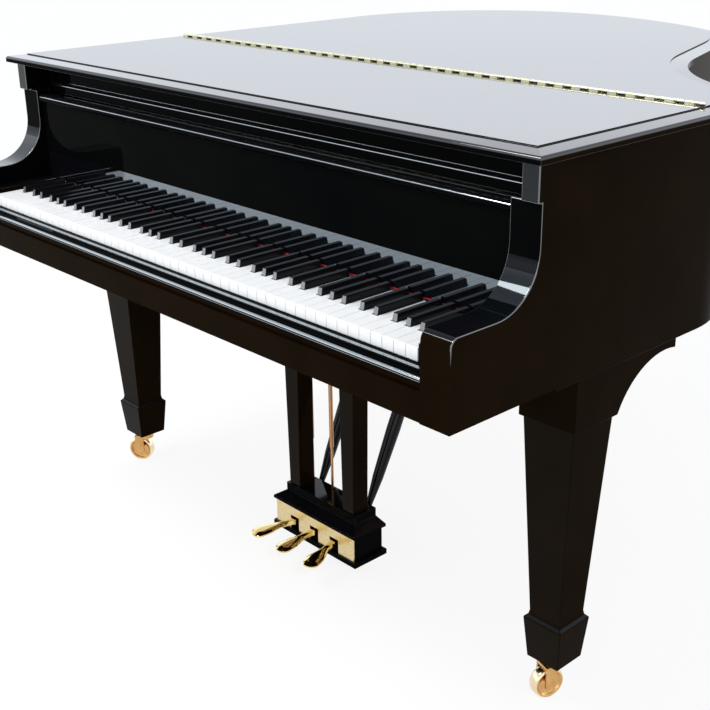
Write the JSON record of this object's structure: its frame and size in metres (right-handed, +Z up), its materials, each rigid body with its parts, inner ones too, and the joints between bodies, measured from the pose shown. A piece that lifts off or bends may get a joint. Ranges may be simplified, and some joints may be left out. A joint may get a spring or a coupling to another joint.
{
  "type": "grand piano",
  "caption": "Small black lacquered grand piano on casters, with a folding lid and prop, a hinged fallboard, playable keys, a music desk and a pedal lyre.",
  "frame": {"origin": "on the floor under the middle of the piano's bounding box", "axes": "+X to the player's right, +Y away from the player towards the tail, +Z up"},
  "size_m": [1.434, 1.595, 0.9987],
  "materials": {
    "black_lacquer": "mirror-polished black lacquer",
    "brass": "polished",
    "copper_rod": "polished, copper coloured",
    "white_key": "gloss",
    "black_key": "gloss black",
    "gold_iron": "gold paint",
    "steel_wire": "bright drawn wire",
    "spruce": "clear varnish",
    "maple": "plain",
    "damper_black": "satin black with felt"
  },
  "bodies": {
    "case": {"outer_rim": "black_lacquer", "inner_rim": "maple", "arms": "black_lacquer", "keybed": "black_lacquer", "key_slip": "black_lacquer", "key_blocks": "black_lacquer", "back_beams": "maple", "soundboard": "spruce", "bridges": "maple", "pin_block": "maple", "iron_plate": "gold_iron", "tuning_pins": "steel_wire", "strings": "steel_wire", "desk_slides": "black_lacquer", "lid_hinge_case_leaves": "brass", "prop_bracket": "brass", "leg_brackets": "black_lacquer", "leg_front_left": "black_lacquer", "leg_front_right": "black_lacquer", "leg_rear": "black_lacquer", "lyre_posts": "black_lacquer", "lyre_base": "black_lacquer", "lyre_braces": "black_lacquer", "pedal_plate": "brass"},
    "lid": {"lid": "black_lacquer", "flap_hinge_rear_leaf": "brass", "lid_hinge_lid_leaves": "brass"},
    "lid_flap": {"lid_front_flap": "black_lacquer", "flap_hinge_front_leaf": "brass"},
    "fallboard": {"fallboard": "black_lacquer"},
    "desk_tray": {"music_desk_tray": "black_lacquer"},
    "desk": {"music_desk": "black_lacquer"},
    "prop": {"lid_prop": "black_lacquer"},
    "action": {"key_frame": "maple", "hammer_action": "maple"},
    "dampers": {"dampers": "damper_black"},
    "pedal_left": {"pedal_left": "brass"},
    "pedal_rod_left": {"pedal_rod_left": "copper_rod"},
    "pedal_middle": {"pedal_middle": "brass"},
    "pedal_rod_middle": {"pedal_rod_middle": "copper_rod"},
    "pedal_right": {"pedal_right": "brass"},
    "pedal_rod_right": {"pedal_rod_right": "copper_rod"},
    "keys_a": {"keys_a": "white_key"},
    "keys_a_sharp": {"keys_a_sharp": "black_key"},
    "keys_b": {"keys_b": "white_key"},
    "keys_c": {"keys_c": "white_key"},
    "keys_c_sharp": {"keys_c_sharp": "black_key"},
    "keys_d": {"keys_d": "white_key"},
    "keys_d_sharp": {"keys_d_sharp": "black_key"},
    "keys_e": {"keys_e": "white_key"},
    "keys_f": {"keys_f": "white_key"},
    "keys_f_sharp": {"keys_f_sharp": "black_key"},
    "keys_g": {"keys_g": "white_key"},
    "keys_g_sharp": {"keys_g_sharp": "black_key"},
    "caster_fork_front_left": {"caster_fork_front_left": "brass"},
    "caster_wheel_front_left": {"caster_wheel_front_left": "brass"},
    "caster_fork_front_right": {"caster_fork_front_right": "brass"},
    "caster_wheel_front_right": {"caster_wheel_front_right": "brass"},
    "caster_fork_rear": {"caster_fork_rear": "brass"},
    "caster_wheel_rear": {"caster_wheel_rear": "brass"}
  },
  "joints": [
    {"name": "lid_hinge", "type": "hinge", "parent": "case", "child": "lid", "pos_m": [-0.7085, 0.09149, 0.97], "axis": [0, -1, 0], "range_deg": [0, 38]},
    {"name": "flap_hinge", "type": "hinge", "parent": "lid", "child": "lid_flap", "pos_m": [0, -0.21551, 0.996], "axis": [-1, 0, 0], "range_deg": [0, 180]},
    {"name": "fallboard_hinge", "type": "hinge", "parent": "case", "child": "fallboard", "pos_m": [0, -0.61151, 0.76], "axis": [1, 0, 0], "range_deg": [0, 90]},
    {"name": "desk_tray_slide", "type": "slide", "parent": "case", "child": "desk_tray", "axis": [0, -1, 0], "range_m": [0, 0.06]},
    {"name": "desk_hinge", "type": "hinge", "parent": "desk_tray", "child": "desk", "pos_m": [0, -0.56451, 0.932], "axis": [1, 0, 0], "range_deg": [0, 70.1]},
    {"name": "prop_hinge", "type": "hinge", "parent": "case", "child": "prop", "pos_m": [0.21354, 0.35521, 0.928], "axis": [-0.6658, -0.2636, -0.698], "range_deg": [0, 82.71]},
    {"name": "pedal_left_hinge", "type": "hinge", "parent": "case", "child": "pedal_left", "pos_m": [-0.058, -0.41151, 0.061], "axis": [1, 0, 0], "range_deg": [0, 6]},
    {"name": "pedal_rod_left_slide", "type": "slide", "parent": "case", "child": "pedal_rod_left", "axis": [0, 0, 1], "range_m": [0, 0.0036]},
    {"name": "pedal_middle_hinge", "type": "hinge", "parent": "case", "child": "pedal_middle", "pos_m": [0.004, -0.41151, 0.061], "axis": [1, 0, 0], "range_deg": [0, 6], "stiffness_Nm_per_rad": 20, "springref_deg": -6.88},
    {"name": "pedal_rod_middle_slide", "type": "slide", "parent": "case", "child": "pedal_rod_middle", "axis": [0, 0, 1], "range_m": [0, 0.0036]},
    {"name": "pedal_right_hinge", "type": "hinge", "parent": "case", "child": "pedal_right", "pos_m": [0.066, -0.41151, 0.061], "axis": [1, 0, 0], "range_deg": [0, 6], "stiffness_Nm_per_rad": 20, "springref_deg": -6.88},
    {"name": "pedal_rod_right_slide", "type": "slide", "parent": "case", "child": "pedal_rod_right", "axis": [0, 0, 1], "range_m": [0, 0.0036]},
    {"name": "action_shift", "type": "slide", "parent": "case", "child": "action", "axis": [1, 0, 0], "range_m": [0, 0.00249], "stiffness_N_per_m": 1500, "springref_m": -0.01},
    {"name": "damper_lift", "type": "slide", "parent": "case", "child": "dampers", "axis": [0, 0, 1], "range_m": [0, 0.006]},
    {"name": "keys_a_hinge", "type": "hinge", "parent": "action", "child": "keys_a", "pos_m": [0, -0.53751, 0.703], "axis": [1, 0, 0], "range_deg": [0, 2.5], "stiffness_Nm_per_rad": 8, "springref_deg": -8.59},
    {"name": "keys_a_sharp_hinge", "type": "hinge", "parent": "action", "child": "keys_a_sharp", "pos_m": [0, -0.53751, 0.703], "axis": [1, 0, 0], "range_deg": [0, 2.5], "stiffness_Nm_per_rad": 8, "springref_deg": -8.59},
    {"name": "keys_b_hinge", "type": "hinge", "parent": "action", "child": "keys_b", "pos_m": [0, -0.53751, 0.703], "axis": [1, 0, 0], "range_deg": [0, 2.5], "stiffness_Nm_per_rad": 8, "springref_deg": -8.59},
    {"name": "keys_c_hinge", "type": "hinge", "parent": "action", "child": "keys_c", "pos_m": [0, -0.53751, 0.703], "axis": [1, 0, 0], "range_deg": [0, 2.5], "stiffness_Nm_per_rad": 8, "springref_deg": -8.59},
    {"name": "keys_c_sharp_hinge", "type": "hinge", "parent": "action", "child": "keys_c_sharp", "pos_m": [0, -0.53751, 0.703], "axis": [1, 0, 0], "range_deg": [0, 2.5], "stiffness_Nm_per_rad": 8, "springref_deg": -8.59},
    {"name": "keys_d_hinge", "type": "hinge", "parent": "action", "child": "keys_d", "pos_m": [0, -0.53751, 0.703], "axis": [1, 0, 0], "range_deg": [0, 2.5], "stiffness_Nm_per_rad": 8, "springref_deg": -8.59},
    {"name": "keys_d_sharp_hinge", "type": "hinge", "parent": "action", "child": "keys_d_sharp", "pos_m": [0, -0.53751, 0.703], "axis": [1, 0, 0], "range_deg": [0, 2.5], "stiffness_Nm_per_rad": 8, "springref_deg": -8.59},
    {"name": "keys_e_hinge", "type": "hinge", "parent": "action", "child": "keys_e", "pos_m": [0, -0.53751, 0.703], "axis": [1, 0, 0], "range_deg": [0, 2.5], "stiffness_Nm_per_rad": 8, "springref_deg": -8.59},
    {"name": "keys_f_hinge", "type": "hinge", "parent": "action", "child": "keys_f", "pos_m": [0, -0.53751, 0.703], "axis": [1, 0, 0], "range_deg": [0, 2.5], "stiffness_Nm_per_rad": 8, "springref_deg": -8.59},
    {"name": "keys_f_sharp_hinge", "type": "hinge", "parent": "action", "child": "keys_f_sharp", "pos_m": [0, -0.53751, 0.703], "axis": [1, 0, 0], "range_deg": [0, 2.5], "stiffness_Nm_per_rad": 8, "springref_deg": -8.59},
    {"name": "keys_g_hinge", "type": "hinge", "parent": "action", "child": "keys_g", "pos_m": [0, -0.53751, 0.703], "axis": [1, 0, 0], "range_deg": [0, 2.5], "stiffness_Nm_per_rad": 8, "springref_deg": -8.59},
    {"name": "keys_g_sharp_hinge", "type": "hinge", "parent": "action", "child": "keys_g_sharp", "pos_m": [0, -0.53751, 0.703], "axis": [1, 0, 0], "range_deg": [0, 2.5], "stiffness_Nm_per_rad": 8, "springref_deg": -8.59},
    {"name": "caster_fork_front_left_swivel", "type": "hinge", "parent": "case", "child": "caster_fork_front_left", "pos_m": [-0.63, -0.44351, 0.07], "axis": [0, 0, 1], "continuous": true},
    {"name": "caster_wheel_front_left_axle", "type": "hinge", "parent": "caster_fork_front_left", "child": "caster_wheel_front_left", "pos_m": [-0.64065, -0.45097, 0.03], "axis": [0.5736, -0.8192, 0], "continuous": true},
    {"name": "caster_fork_front_right_swivel", "type": "hinge", "parent": "case", "child": "caster_fork_front_right", "pos_m": [0.63, -0.44351, 0.07], "axis": [0, 0, 1], "continuous": true},
    {"name": "caster_wheel_front_right_axle", "type": "hinge", "parent": "caster_fork_front_right", "child": "caster_wheel_front_right", "pos_m": [0.62598, -0.45588, 0.03], "axis": [0.9511, -0.309, 0], "continuous": true},
    {"name": "caster_fork_rear_swivel", "type": "hinge", "parent": "case", "child": "caster_fork_rear", "pos_m": [-0.255, 0.61152, 0.07], "axis": [0, 0, 1], "continuous": true},
    {"name": "caster_wheel_rear_axle", "type": "hinge", "parent": "caster_fork_rear", "child": "caster_wheel_rear", "pos_m": [-0.26565, 0.60406, 0.03], "axis": [0.5736, -0.8192, 0], "continuous": true}
  ],
  "couplings": [
    {"joint": "prop_hinge", "follows": "lid_hinge", "ratio": 2.1739},
    {"joint": "desk_hinge", "follows": "flap_hinge", "ratio": 0.389},
    {"joint": "pedal_rod_left_slide", "follows": "action_shift", "ratio": 1.344},
    {"joint": "pedal_rod_middle_slide", "follows": "pedal_middle_hinge", "m_per_rad": 0.032},
    {"joint": "pedal_rod_right_slide", "follows": "pedal_right_hinge", "m_per_rad": 0.032},
    {"joint": "pedal_left_hinge", "follows": "action_shift", "rad_per_m": 42},
    {"joint": "damper_lift", "follows": "pedal_right_hinge", "m_per_rad": 0.057}
  ]
}
